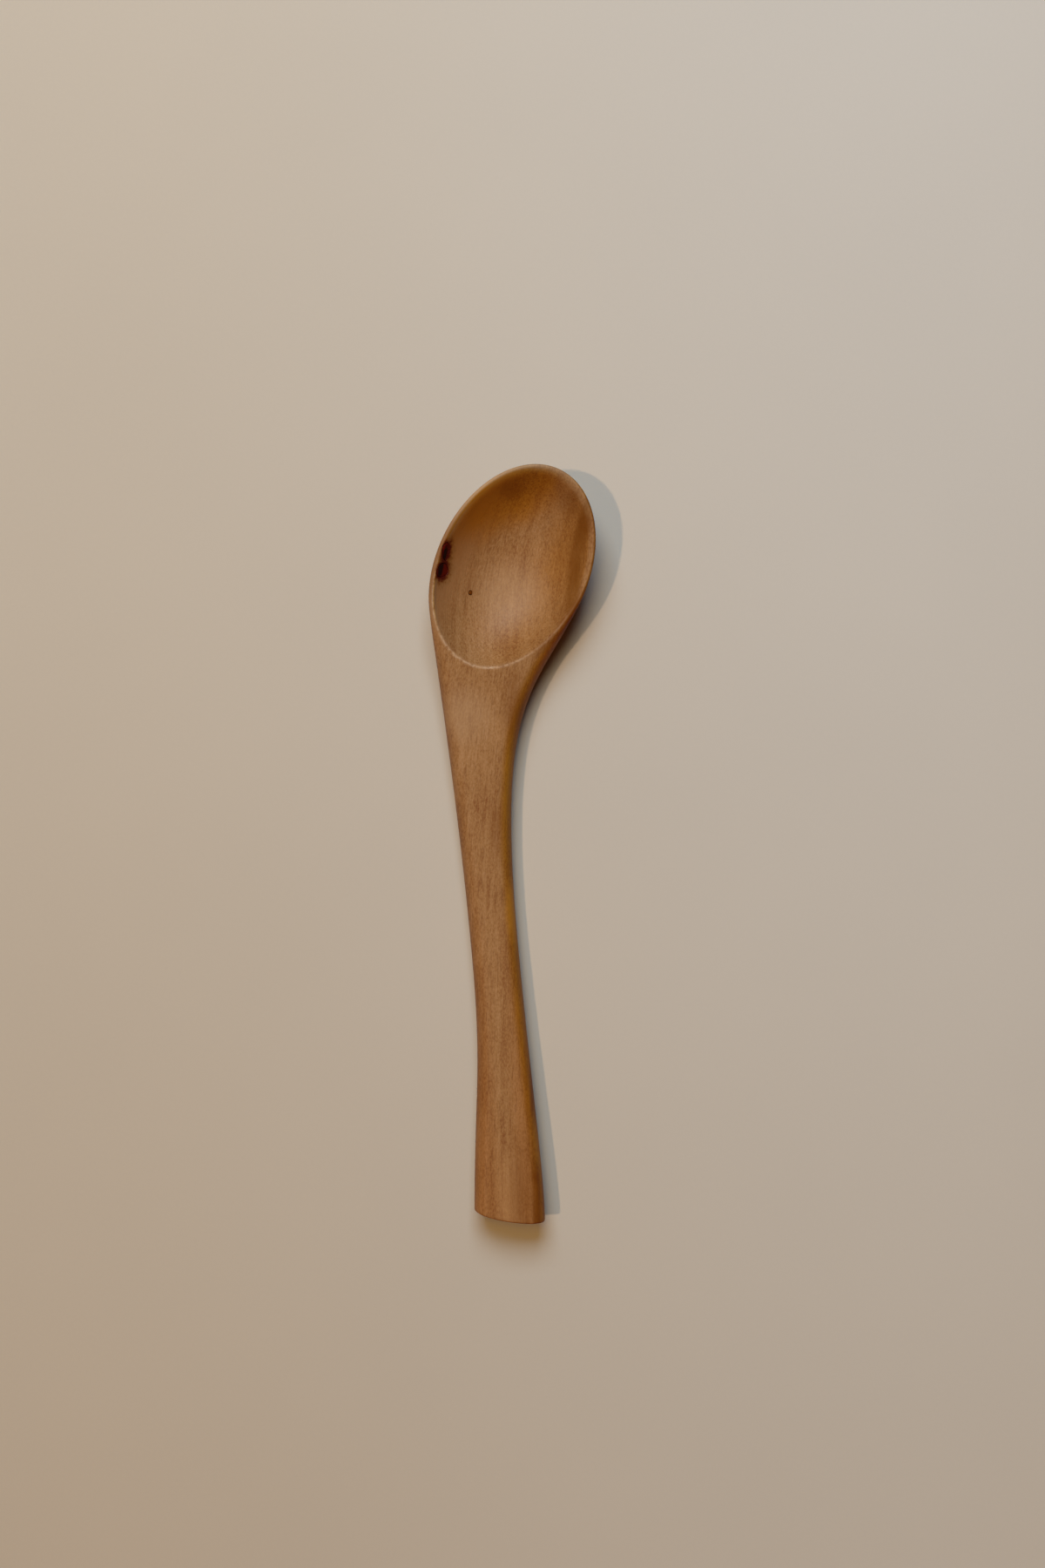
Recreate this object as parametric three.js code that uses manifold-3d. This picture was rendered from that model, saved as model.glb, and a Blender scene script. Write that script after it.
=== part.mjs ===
import * as THREE from 'three';
import { mergeVertices } from 'three/addons/utils/BufferGeometryUtils.js';
import Module from 'manifold-3d';

// A small wooden spoon, carved from one billet, with three dead knots in the bowl.
// It lies on its back: x to the right, y from the butt to the tip, z up. Millimetres and degrees.

const wasm = await Module();
wasm.setup();

const overallLength = 180;

// Bowl outline: an ellipse that leans to the right of the handle.
const bowlLength = 51.6;
const bowlWidth = 36;
const bowlLean = 26.5;
const bowlOffset = 0.6;
const leftShoulderAngle = 129;
const rightShoulderAngle = 91;

// Waist, the narrowest place of the handle.
const waistFromButt = 65;
const waistWidth = 11.3;
const waistOffset = -3.6;
const waistLean = 5.3;

// Butt, sawn a little askew and sanded to a shallow bow.
const buttWidth = 16.9;
const buttSkew = 2.4;
const buttBow = 0.8;
const buttChamfer = 0.5;

// How hard each flank curve holds its end directions, as a share of the curve's span.
const leftFlankPull = { buttEnd: 0.48, belowWaist: 0.47, aboveWaist: 0.49, bowlEnd: 0.09 };
const rightFlankPull = { buttEnd: 0.15, belowWaist: 0.44, aboveWaist: 0.73, bowlEnd: 0.28 };

// Side view: heights of the upper face and of the underside at named places.
const buttTop = 10.6;
const buttUnderside = 2.8;
const gripFromButt = 40;
const gripTop = 9.0;
const gripUnderside = 1.0;
const saddleFromButt = 82;
const saddleTop = 8.2;
const neckFromBowlCentre = 40;
const neckTop = 9.3;
const neckUnderside = 0.7;
const heelFromBowlCentre = 22;
const heelTop = 11.1;
const heelUnderside = 0.3;
const shoulderFromBowlCentre = 24.5;
const tipTop = 16;
const restFlatDepth = 0.3;

// Rounding of the upper edge, and how full the underside is: 0.5 is a true ellipse, more is leaner.
const handleEdgeDrop = 4.1;
const handleEdgeRound = 3.2;
const handleCrown = 0.5;
const handleLeanness = 0.45;
const lipDrop = 1.0;
const lipRound = 1.0;
const bowlLeanness = 0.68;

// Hollow of the bowl: it follows the outline inside a narrow rim.
const rimWidth = 1.15;
const hollowDepth = 10;
const hollowSteepness = 2.6;
const cutterBrim = 1.12;
const cutterClearance = 6;

// Dead knots: turn round the hollow from the tip, and share of the way from its centre to the rim.
const sideKnotUpper = { turn: -98, share: 0.953, width: 1.9, length: 4.4, slant: 19 };
const sideKnotLower = { turn: -109.5, share: 0.925, width: 3.3, length: 3.6, slant: -2 };
const pinKnot = { turn: -132.3, share: 0.539, width: 0.8, length: 0.95, slant: 0 };
const knotDepth = 0.9;
const knotTaper = 0.7;
const barkGap = 0.3;

// Facets, the distance at which corners are one, and the step that feels out a slope.
const lowerStations = 15;
const upperStations = 20;
const tipRibs = 46;
const crownSteps = 3;
const roundSteps = 5;
const hollowSegments = 64;
const hollowRings = 11;
const knotSides = 14;

const sameCorner = 1e-4;
const probeStep = 0.01;

const radians = THREE.MathUtils.degToRad;
const mix = THREE.MathUtils.lerp;

// Plan view

const leanAngle = radians(bowlLean);
const bowlAxis = new THREE.Vector2(Math.sin(leanAngle), Math.cos(leanAngle));
const bowlAcross = new THREE.Vector2(Math.cos(leanAngle), -Math.sin(leanAngle));
const bowlReach = Math.hypot(bowlAxis.y * bowlLength / 2, bowlAcross.y * bowlWidth / 2);
const bowlCentre = new THREE.Vector2(bowlOffset, overallLength - bowlReach);

// A point of the bowl's plane, from shares of its half length and half width.
function bowlPoint(along, across, inset = 0) {
  return bowlCentre.clone()
    .addScaledVector(bowlAxis, along * (bowlLength / 2 - inset))
    .addScaledVector(bowlAcross, across * (bowlWidth / 2 - inset));
}

function bowlEdge(angle) {
  return bowlPoint(Math.cos(angle), Math.sin(angle));
}

function bowlTangent(angle) {
  const ahead = new THREE.Vector2()
    .addScaledVector(bowlAxis, -Math.sin(angle) * bowlLength)
    .addScaledVector(bowlAcross, Math.cos(angle) * bowlWidth);
  return ahead.normalize();
}

// A flank curve from one point to another that leaves and arrives in given directions.
function flank(start, startDirection, startPull, end, endDirection, endPull) {
  const span = start.distanceTo(end);
  return new THREE.CubicBezierCurve(
    start,
    start.clone().addScaledVector(startDirection, startPull * span),
    end.clone().addScaledVector(endDirection, -endPull * span),
    end,
  );
}

const waistAngle = radians(waistLean);
const waistUp = new THREE.Vector2(-Math.sin(waistAngle), Math.cos(waistAngle));
const waistAcross = new THREE.Vector2(Math.cos(waistAngle), Math.sin(waistAngle));
const waistCentre = new THREE.Vector2(waistOffset, waistFromButt);
const straightUp = new THREE.Vector2(0, 1);
const leftShoulder = -radians(leftShoulderAngle);
const rightShoulder = radians(rightShoulderAngle);

// The two flank curves of one side: butt to waist, and waist to the bowl's shoulder.
function flanks(side, buttHeight, shoulder, pull) {
  const butt = new THREE.Vector2(side * buttWidth / 2, buttHeight);
  const waist = waistCentre.clone().addScaledVector(waistAcross, side * waistWidth / 2);
  const arrival = bowlTangent(shoulder).multiplyScalar(-side);
  return {
    lower: flank(butt, straightUp, pull.buttEnd, waist, waistUp, pull.belowWaist),
    upper: flank(waist, waistUp, pull.aboveWaist, bowlEdge(shoulder), arrival, pull.bowlEnd),
  };
}

const leftFlanks = flanks(-1, buttSkew, leftShoulder, leftFlankPull);
const rightFlanks = flanks(1, 0, rightShoulder, rightFlankPull);

// Side view

// A smooth line through [distance, height] stations.
function profileLine(stations) {
  return (y) => {
    let i = 0;
    while (i < stations.length - 2 && y > stations[i + 1][0]) i += 1;
    const slopeAt = (k) => {
      const before = stations[Math.max(k - 1, 0)];
      const after = stations[Math.min(k + 1, stations.length - 1)];
      return (after[1] - before[1]) / (after[0] - before[0]);
    };
    const [y0, z0] = stations[i];
    const [y1, z1] = stations[i + 1];
    const span = y1 - y0;
    const t = (y - y0) / span;
    const a = slopeAt(i) * span - (z1 - z0);
    const b = (z1 - z0) - slopeAt(i + 1) * span;
    return z0 + t * (z1 - z0) + t * (1 - t) * ((1 - t) * a + t * b);
  };
}

const bellyY = (bowlEdge(leftShoulder).y + bowlEdge(rightShoulder).y) / 2;
const neckY = bowlCentre.y - neckFromBowlCentre;
const heelY = bowlCentre.y - heelFromBowlCentre;
const shoulderY = bowlCentre.y - shoulderFromBowlCentre;

const upperFace = profileLine([
  [0, buttTop],
  [gripFromButt, gripTop],
  [saddleFromButt, saddleTop],
  [neckY, neckTop],
  [heelY, heelTop],
  [overallLength, tipTop],
]);

const underside = profileLine([
  [0, buttUnderside],
  [gripFromButt, gripUnderside],
  [saddleFromButt, -restFlatDepth],
  [neckY, neckUnderside],
  [heelY, heelUnderside],
  [bellyY, -restFlatDepth],
]);

// Outer form, a loft of ribs

// Share of the way from the handle's section to the bowl's, between the shoulder and the belly.
function bowlShare(y) {
  return THREE.MathUtils.smoothstep(y, shoulderY, bellyY);
}

// One rib: from the spine over the upper face to the outline, round the edge, and back underneath.
function rib(edge, spine, bow, share) {
  const reach = edge.distanceTo(spine);
  const drop = mix(handleEdgeDrop, lipDrop, share);
  const rounding = Math.min(mix(handleEdgeRound, lipRound, share), reach) / reach;
  const crown = mix(handleCrown, 0, share);
  const leanness = mix(handleLeanness, bowlLeanness, share);
  const plan = (out) => {
    const point = spine.clone().lerp(edge, out);
    point.y -= bow * (1 - out * out);
    return point;
  };
  const edgeHeight = upperFace(edge.y) - crown - drop;
  const keelHeight = underside(Math.min(spine.y, bellyY));
  const points = [];
  const addTop = (out) => {
    const point = plan(out);
    const past = Math.max(0, (out - 1 + rounding) / rounding);
    const fall = crown * out * out + drop * (1 - Math.sqrt(Math.max(0, 1 - past * past)));
    points.push(new THREE.Vector3(point.x, point.y, upperFace(point.y) - fall));
  };
  const addUnder = (out) => {
    const point = plan(out);
    const rise = (edgeHeight - keelHeight) * (1 - (1 - out * out) ** leanness);
    points.push(new THREE.Vector3(point.x, point.y, keelHeight + rise));
  };
  for (let i = 0; i < crownSteps; i += 1) addTop((i / crownSteps) * (1 - rounding));
  for (let i = 0; i <= roundSteps; i += 1) {
    addTop(1 - rounding * (1 - Math.sin((i / roundSteps) * Math.PI / 2)));
  }
  const underSteps = crownSteps + roundSteps;
  for (let i = 1; i <= underSteps; i += 1) {
    addUnder(Math.cos((i / underSteps) * Math.PI / 2));
  }
  return points;
}

// A pair of ribs, left and right, at one station of the flanks.
function ribPair(left, right, bow) {
  const spine = left.clone().lerp(right, 0.5);
  const share = bowlShare(spine.y);
  return [rib(left, spine, bow, share), rib(right, spine, bow, share)];
}

function allRibs() {
  const left = [];
  const right = [];
  const addPair = (pair) => {
    left.push(pair[0]);
    right.push(pair[1]);
  };
  const chamferShare = buttChamfer / waistFromButt;
  for (let i = 0; i < lowerStations; i += 1) {
    const along = mix(chamferShare, 1, i / lowerStations);
    const bow = buttBow * (1 - along) ** 2;
    addPair(ribPair(leftFlanks.lower.getPointAt(along), rightFlanks.lower.getPointAt(along), bow));
  }
  for (let i = 0; i <= upperStations; i += 1) {
    const along = i / upperStations;
    addPair(ribPair(leftFlanks.upper.getPointAt(along), rightFlanks.upper.getPointAt(along), 0));
  }
  const hub = bowlEdge(leftShoulder).lerp(bowlEdge(rightShoulder), 0.5);
  const tip = [];
  for (let i = 1; i < tipRibs; i += 1) {
    tip.push(rib(bowlEdge(mix(leftShoulder, rightShoulder, i / tipRibs)), hub, 0, 1));
  }
  const buttEnd = [left[0], right[0]].map((first) => chamferedEnd(first, left[0][0]));
  return [buttEnd[0], ...left, ...tip, ...right.reverse(), buttEnd[1]];
}

// The butt's end face is the first section, drawn in by the chamfer and moved out by it.
function chamferedEnd(section, spineTop) {
  const middle = section[0].z / 2 + section.at(-1).z / 2;
  const halfHeight = section[0].z - middle;
  const halfWidth = buttWidth / 2;
  return section.map((point) => new THREE.Vector3(
    mix(point.x, spineTop.x, buttChamfer / halfWidth),
    point.y - buttChamfer,
    mix(point.z, middle, buttChamfer / halfHeight),
  ));
}

// Joins the ribs into one closed skin, and the two end ribs into the butt's end face.
function ribbedSkin(ribs) {
  const rows = ribs[0].length;
  const positions = ribs.flat().flatMap((point) => [point.x, point.y, point.z]);
  const index = [];
  const quad = (a, b, c, d) => index.push(a, b, c, a, c, d);
  for (let i = 0; i < ribs.length - 1; i += 1) {
    for (let j = 0; j < rows - 1; j += 1) {
      const here = i * rows + j;
      quad(here, here + rows, here + rows + 1, here + 1);
    }
  }
  const last = (ribs.length - 1) * rows;
  const half = (rows - 1) / 2;
  for (let j = 0; j < half; j += 1) {
    quad(j, j + 1, rows - 2 - j, rows - 1 - j);
    quad(last + j + 1, last + j, last + rows - 1 - j, last + rows - 2 - j);
  }
  const geometry = new THREE.BufferGeometry();
  geometry.setAttribute('position', new THREE.Float32BufferAttribute(positions, 3));
  geometry.setIndex(index);
  return geometry;
}

// Solids

// A closed geometry as a solid, with shared corners merged and collapsed triangles left out.
function toSolid(geometry) {
  const bare = geometry.clone();
  bare.deleteAttribute('normal');
  bare.deleteAttribute('uv');
  const merged = mergeVertices(bare, sameCorner);
  const corners = merged.index.array;
  const kept = [];
  for (let i = 0; i < corners.length; i += 3) {
    const [a, b, c] = corners.slice(i, i + 3);
    if (a !== b && b !== c && c !== a) kept.push(a, b, c);
  }
  return new wasm.Manifold(new wasm.Mesh({
    numProp: 3,
    vertProperties: new Float32Array(merged.attributes.position.array),
    triVerts: new Uint32Array(kept),
  }));
}

function toGeometry(solid) {
  const mesh = solid.getMesh();
  const geometry = new THREE.BufferGeometry();
  geometry.setAttribute('position', new THREE.BufferAttribute(mesh.vertProperties, 3));
  geometry.setIndex(new THREE.BufferAttribute(mesh.triVerts, 1));
  return geometry;
}

// Hollow

// A point of the hollow's skin, from shares of its half length and half width.
function hollowPoint(along, across) {
  const plan = bowlPoint(along, across, rimWidth);
  const out = Math.hypot(along, across);
  const height = upperFace(plan.y) + hollowDepth * (out ** hollowSteepness - 1);
  return new THREE.Vector3(plan.x, plan.y, height);
}

// A revolved dish with a lid, stretched to the bowl and laid along the rim.
function hollowCutter() {
  const profile = [];
  for (let i = 0; i <= hollowRings; i += 1) {
    profile.push(new THREE.Vector2(cutterBrim * Math.sin((i / hollowRings) * Math.PI / 2), 0));
  }
  profile.push(new THREE.Vector2(cutterBrim, 1), new THREE.Vector2(0, 1));
  const dish = new THREE.LatheGeometry(profile, hollowSegments).rotateX(Math.PI / 2);
  const position = dish.attributes.position;
  for (let i = 0; i < position.count; i += 1) {
    const point = hollowPoint(position.getY(i), position.getX(i));
    const isLid = position.getZ(i) > 0.5;
    position.setXYZ(i, point.x, point.y, isLid ? tipTop + cutterClearance : point.z);
  }
  return dish;
}

// Rest flats

// A block under the surface that the spoon lies on. It trims the belly and the handle flat.
function surfaceBlock() {
  const block = new THREE.BoxGeometry(overallLength, 2 * overallLength, overallLength);
  return block.translate(0, overallLength / 2, -overallLength / 2);
}

// Knots

// A tapered oval plug driven into the hollow's skin, square to it.
function knotPlug(knot, extra) {
  const turn = radians(knot.turn);
  const skinAt = (share, angle) => hollowPoint(share * Math.cos(angle), share * Math.sin(angle));
  const centre = skinAt(knot.share, turn);
  const outward = skinAt(knot.share + probeStep, turn).sub(centre);
  const around = skinAt(knot.share, turn + probeStep).sub(centre).normalize();
  const normal = new THREE.Vector3().crossVectors(outward, around).normalize();
  if (normal.z < 0) normal.negate();
  around.applyAxisAngle(normal, radians(knot.slant));
  const across = new THREE.Vector3().crossVectors(normal, around);
  const above = knotDepth;
  const below = knotDepth + extra;
  const plug = new THREE.CylinderGeometry(1, knotTaper, above + below, knotSides);
  plug.translate(0, (above - below) / 2, 0);
  plug.scale(knot.width / 2 + extra, 1, knot.length / 2 + extra);
  plug.applyMatrix4(new THREE.Matrix4().makeBasis(across, normal, around).setPosition(centre));
  return plug;
}

// Assembly

const spoon = new THREE.Group();

function addPiece(name, solid, look) {
  const piece = new THREE.Mesh(toGeometry(solid), new THREE.MeshStandardMaterial(look));
  piece.name = name;
  spoon.add(piece);
  return piece;
}

const oiledWood = { color: 0x91673f, roughness: 0.55, metalness: 0 };
const knotWood = { color: 0x2a0a06, roughness: 0.6, metalness: 0 };
const pinKnotWood = { color: 0x5c3012, roughness: 0.6, metalness: 0 };

const blank = toSolid(ribbedSkin(allRibs()));
const carved = blank.subtract(toSolid(hollowCutter())).subtract(toSolid(surfaceBlock()));
const knots = [
  ['side_knot_upper', sideKnotUpper, knotWood],
  ['side_knot_lower', sideKnotLower, knotWood],
  ['pin_knot', pinKnot, pinKnotWood],
];

let body = carved;
for (const [name, knot, look] of knots) {
  addPiece(name, carved.intersect(toSolid(knotPlug(knot, 0))), look);
  body = body.subtract(toSolid(knotPlug(knot, barkGap)));
}
const bodyPiece = addPiece('spoon_body', body, oiledWood);

// The frame's origin is under the middle of the spoon, on the surface that it lies on.
const extent = new THREE.Box3().setFromObject(bodyPiece);
const middle = extent.getCenter(new THREE.Vector3());
spoon.position.set(-middle.x, -middle.y, -extent.min.z);

export default spoon;
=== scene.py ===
# A small carved wooden spoon on a pale table, seen from straight above.
# Sizes in the dictionaries are millimetres and degrees, the scene itself is in metres.
import math
import bmesh
import bpy
import numpy as np
from mathutils import Matrix, Vector
from mathutils.geometry import delaunay_2d_cdt


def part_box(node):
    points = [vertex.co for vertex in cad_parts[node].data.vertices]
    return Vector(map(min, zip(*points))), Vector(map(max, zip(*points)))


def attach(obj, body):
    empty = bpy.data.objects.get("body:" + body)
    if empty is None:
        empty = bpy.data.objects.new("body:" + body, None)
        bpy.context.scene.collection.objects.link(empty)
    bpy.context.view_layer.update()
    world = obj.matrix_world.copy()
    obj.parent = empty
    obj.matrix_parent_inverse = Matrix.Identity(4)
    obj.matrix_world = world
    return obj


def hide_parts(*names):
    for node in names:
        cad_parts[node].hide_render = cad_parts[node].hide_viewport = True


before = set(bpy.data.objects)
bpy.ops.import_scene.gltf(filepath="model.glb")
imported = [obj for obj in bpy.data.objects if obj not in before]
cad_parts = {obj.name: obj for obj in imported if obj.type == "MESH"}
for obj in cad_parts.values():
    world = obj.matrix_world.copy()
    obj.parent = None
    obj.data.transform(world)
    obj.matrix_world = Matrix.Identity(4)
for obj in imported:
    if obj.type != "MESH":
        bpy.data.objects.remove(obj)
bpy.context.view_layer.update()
scene = bpy.context.scene
mm = 0.001
joinDistance = 2e-7  # corners closer than this, in metres, are one
samePlace = 1e-9  # the same for the points of the skin's plan, in millimetres
tiny = 1e-12  # keeps a division by nothing from failing
chunk = 2000  # points measured at a time, which keeps the tables small
print("frame loaded:", ", ".join(sorted(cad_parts)))

# Shape of the carving: x from the middle of the butt, y from the butt to the tip, z up.
carving = {
    "length": 180.0,
    "bowlLength": 51.6, "bowlWidth": 36.0, "bowlLean": 26.5, "bowlOffset": 0.6,
    "leftShoulder": 129.0, "rightShoulder": 91.0,  # where the handle's flanks meet the bowl
    "waistFromButt": 65.0, "waistWidth": 11.3, "waistOffset": -3.6, "waistLean": 5.3,
    "buttWidth": 16.9, "buttSkew": 2.4, "buttBow": 0.8, "buttRound": 0.5,
    "sawnReach": 8.0,  # how far up the handle the rounded edge still follows the saw cut
    "buttCorners": (1.3, 0.3),  # how round the left and the right corner are, as shares of buttRound
    "leftPull": (0.48, 0.47, 0.49, 0.09), "rightPull": (0.15, 0.44, 0.73, 0.28),
    "buttTop": 10.6, "buttUnderside": 2.8,
    "gripFromButt": 40.0, "gripTop": 9.0, "gripUnderside": 1.0,
    "saddleFromButt": 82.0, "saddleTop": 8.2,
    "neckFromCentre": 40.0, "neckTop": 9.3, "neckUnderside": 0.7,
    "heelFromCentre": 22.0, "heelTop": 11.1, "heelUnderside": 0.3,
    "shoulderFromCentre": 24.5,  # where the handle's rounded edge starts to narrow to the bowl's lip
    "tipTop": 16.0, "flatDepth": 0.3,
    "handleDrop": 4.1, "handleRound": 3.2, "handleCrown": 0.5, "handleLeanness": 0.45,
    "lipDrop": 1.0, "lipRound": 1.0, "bowlLeanness": 0.68,
    "rimWidth": 1.15, "hollowDepth": 10.0, "hollowSteepness": 2.6,
    "arrisSoftness": (0.3, 1.7), "arrisSoftens": (-0.4, 0.3),  # crisp at the heel, soft round the tip
}

# How finely the skin is cut. More steps make a smoother mesh and a larger file, and there are
# always more underRows than edgeRows.
fineness = {
    "lowerRibs": 170, "upperRibs": 260, "tipRibs": 280,
    "curveSteps": 2000, "edgeRows": 9, "underRows": 26, "buttRows": 5,
    "keelCrowding": 1.4,  # above 1 the rows of the underside lie closer at the keel, where the flats are
    "arrisSteps": 470,
    "arrisRows": (-1.3, -1.0, -0.75, -0.58, -0.44, -0.33, -0.22, -0.11, 0.0, 0.1, 0.2, 0.35),
    "skinSpacing": 0.42, "rowSpacing": 0.87,  # the rows of the even spread, as a share of its columns
    "nearLoop": 0.09, "nearRing": 0.06,  # how close the arris rows come to the edge and to the knots
    "nearRows": 0.55, "nearKnots": 0.45,  # the same for the even spread, as shares of its spacing
}


def smooth(value, low, high):
    t = np.clip((value - low) / (high - low), 0, 1)
    return t * t * (3 - 2 * t)


def mix(a, b, share):
    return a + (b - a) * share


def unit(vectors):
    return vectors / np.linalg.norm(vectors, axis=-1, keepdims=True)


# Bowl outline and hollow
c = carving  # short, because nearly every formula of the shape reads it
lean = math.radians(c["bowlLean"])
bowlAxis = np.array([math.sin(lean), math.cos(lean)])
bowlAcross = np.array([math.cos(lean), -math.sin(lean)])
bowlReach = math.hypot(bowlAxis[1] * c["bowlLength"] / 2, bowlAcross[1] * c["bowlWidth"] / 2)
bowlCentre = np.array([c["bowlOffset"], c["length"] - bowlReach])
leftShoulder = -math.radians(c["leftShoulder"])
rightShoulder = math.radians(c["rightShoulder"])


def bowlPoint(angle, share=1.0, inset=0.0):  # angle turns from the tip, share 1 is the oval itself
    along = (np.cos(angle) * share * (c["bowlLength"] / 2 - inset))[..., None] * bowlAxis
    across = (np.sin(angle) * share * (c["bowlWidth"] / 2 - inset))[..., None] * bowlAcross
    return bowlCentre + along + across


def bowlTangent(angle):
    along = -math.sin(angle) * c["bowlLength"] * bowlAxis
    return unit(along + math.cos(angle) * c["bowlWidth"] * bowlAcross)


def hollowShare(plan):  # 0 in the middle of the hollow, 1 on its rim
    away = plan - bowlCentre
    along = away @ bowlAxis / (c["bowlLength"] / 2 - c["rimWidth"])
    across = away @ bowlAcross / (c["bowlWidth"] / 2 - c["rimWidth"])
    return np.hypot(along, across)


# Flanks of the handle: a curve from start to end, cut at the given shares of its length
def flankCurve(start, startWay, startPull, end, endWay, endPull, shares):
    span = np.linalg.norm(end - start)
    second = start + startWay * startPull * span
    third = end - endWay * endPull * span
    t = np.linspace(0, 1, fineness["curveSteps"] + 1)[:, None]
    line = (1 - t) ** 3 * start + 3 * t * (1 - t) ** 2 * second + 3 * t**2 * (1 - t) * third + t**3 * end
    walked = np.append(0, np.cumsum(np.linalg.norm(np.diff(line, axis=0), axis=1)))
    at = shares * walked[-1]
    return np.column_stack([np.interp(at, walked, line[:, i]) for i in (0, 1)])


waistTurn = math.radians(c["waistLean"])
waistUp = np.array([-math.sin(waistTurn), math.cos(waistTurn)])
waistAcross = np.array([math.cos(waistTurn), math.sin(waistTurn)])
waistCentre = np.array([c["waistOffset"], c["waistFromButt"]])
firstShare = c["buttRound"] / c["waistFromButt"]
lowerShares = np.linspace(firstShare, 1, fineness["lowerRibs"] + 1)[:-1]
upperShares = np.linspace(0, 1, fineness["upperRibs"] + 1)


def flank(side, buttHeight, shoulder, pull):
    butt = np.array([side * c["buttWidth"] / 2, buttHeight])
    waist = waistCentre + waistAcross * side * c["waistWidth"] / 2
    arrival = -side * bowlTangent(shoulder)
    join = bowlPoint(np.array(shoulder))
    up = np.array([0.0, 1.0])
    lower = flankCurve(butt, up, pull[0], waist, waistUp, pull[1], lowerShares)
    upper = flankCurve(waist, waistUp, pull[2], join, arrival, pull[3], upperShares)
    return np.vstack([lower, upper])


leftFlank = flank(-1, c["buttSkew"], leftShoulder, c["leftPull"])
rightFlank = flank(1, 0.0, rightShoulder, c["rightPull"])
flankSpine = (leftFlank + rightFlank) / 2
hub = flankSpine[-1]
tipAngles = np.linspace(leftShoulder, rightShoulder, fineness["tipRibs"] + 1)[1:-1]

# The whole outline, from the butt's left corner round the tip to its right corner, and the line
# along the middle of the handle that each rib runs in to
edge = np.vstack([leftFlank, bowlPoint(tipAngles), rightFlank[::-1]])
spine = np.vstack([flankSpine, np.tile(hub, (len(tipAngles), 1)), flankSpine[::-1]])
ribCount = len(edge)
isTip = np.zeros(ribCount)
isTip[len(leftFlank):-len(rightFlank)] = 1


# Side view: a smooth line through its stations, given as y and z
def profileLine(stations):
    y, z = np.array(stations, float).T
    slope = np.gradient(z, y)
    slope[1:-1] = (z[2:] - z[:-2]) / (y[2:] - y[:-2])

    def line(at):
        i = np.clip(np.searchsorted(y, at) - 1, 0, len(y) - 2)
        span, rise = y[i + 1] - y[i], z[i + 1] - z[i]
        t = (at - y[i]) / span
        a, b = slope[i] * span - rise, rise - slope[i + 1] * span
        return z[i] + t * rise + t * (1 - t) * ((1 - t) * a + t * b)

    return line


bellyY = hub[1]
neckY = bowlCentre[1] - c["neckFromCentre"]
heelY = bowlCentre[1] - c["heelFromCentre"]
shoulderY = bowlCentre[1] - c["shoulderFromCentre"]
upperFace = profileLine([
    (0, c["buttTop"]), (c["gripFromButt"], c["gripTop"]), (c["saddleFromButt"], c["saddleTop"]),
    (neckY, c["neckTop"]), (heelY, c["heelTop"]), (c["length"], c["tipTop"]),
])
underside = profileLine([
    (0, c["buttUnderside"]), (c["gripFromButt"], c["gripUnderside"]),
    (c["saddleFromButt"], -c["flatDepth"]), (neckY, c["neckUnderside"]),
    (heelY, c["heelUnderside"]), (bellyY, -c["flatDepth"]),
])

# What each rib of the outline carries: how far it blends from handle to bowl, and its edge
ribShare = np.maximum(smooth(spine[:, 1], shoulderY, bellyY), isTip)
ribDrop = mix(c["handleDrop"], c["lipDrop"], ribShare)
ribCrown = mix(c["handleCrown"], 0.0, ribShare)
ribLeanness = mix(c["handleLeanness"], c["bowlLeanness"], ribShare)
ribReach = np.linalg.norm(edge - spine, axis=1)
ribRound = np.minimum(mix(c["handleRound"], c["lipRound"], ribShare), ribReach)
ribBow = np.zeros(ribCount)
ribBow[:len(lowerShares)] = c["buttBow"] * (1 - lowerShares) ** 2
ribBow[-len(lowerShares):] = ribBow[:len(lowerShares)][::-1]


def hollowHeight(plan):
    deep = c["hollowDepth"] * (hollowShare(plan) ** c["hollowSteepness"] - 1)
    return upperFace(plan[..., 1]) + deep


def carveHollow(plan, top):  # the lower of upper face and hollow, with the arris softened
    hollow = hollowHeight(plan)
    tipward = (plan - bowlCentre) @ bowlAxis / (c["bowlLength"] / 2)
    soft = mix(*c["arrisSoftness"], smooth(tipward, *c["arrisSoftens"]))
    overlap = np.maximum(soft - np.abs(top - hollow), 0)
    return np.minimum(top, hollow) - overlap**2 / (4 * soft)


def outlineAt(plan):  # distance to the outline, and the values that its ribs carry there
    values = np.column_stack([ribCrown, ribReach, ribDrop, ribRound])
    found, away = np.empty((len(plan), 4)), np.empty(len(plan))
    for first in range(0, len(plan), chunk):
        part = plan[first:first + chunk]
        near = np.argmin(((part[:, None] - edge[None]) ** 2).sum(2), axis=1)
        best = np.full(len(part), np.inf)
        for step in (-1, 0):
            a = np.clip(near + step, 0, ribCount - 2)
            way = edge[a + 1] - edge[a]
            t = np.clip(((part - edge[a]) * way).sum(1) / (way**2).sum(1), 0, 1)
            gap = np.linalg.norm(part - edge[a] - way * t[:, None], axis=1)
            closer = gap < best
            best = np.where(closer, gap, best)
            row = mix(values[a], values[a + 1], t[:, None])
            found[first:first + chunk][closer] = row[closer]
        away[first:first + chunk] = best
    return away, found.T


def upperHeight(plan, away, crown, reach, drop, rounding):
    past = np.clip(1 - away / rounding, 0, 1)
    middle = np.clip(1 - away / reach, 0, 1)
    return upperFace(plan[..., 1]) - crown * middle**2 - drop * (1 - np.sqrt(1 - past**2))


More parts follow.
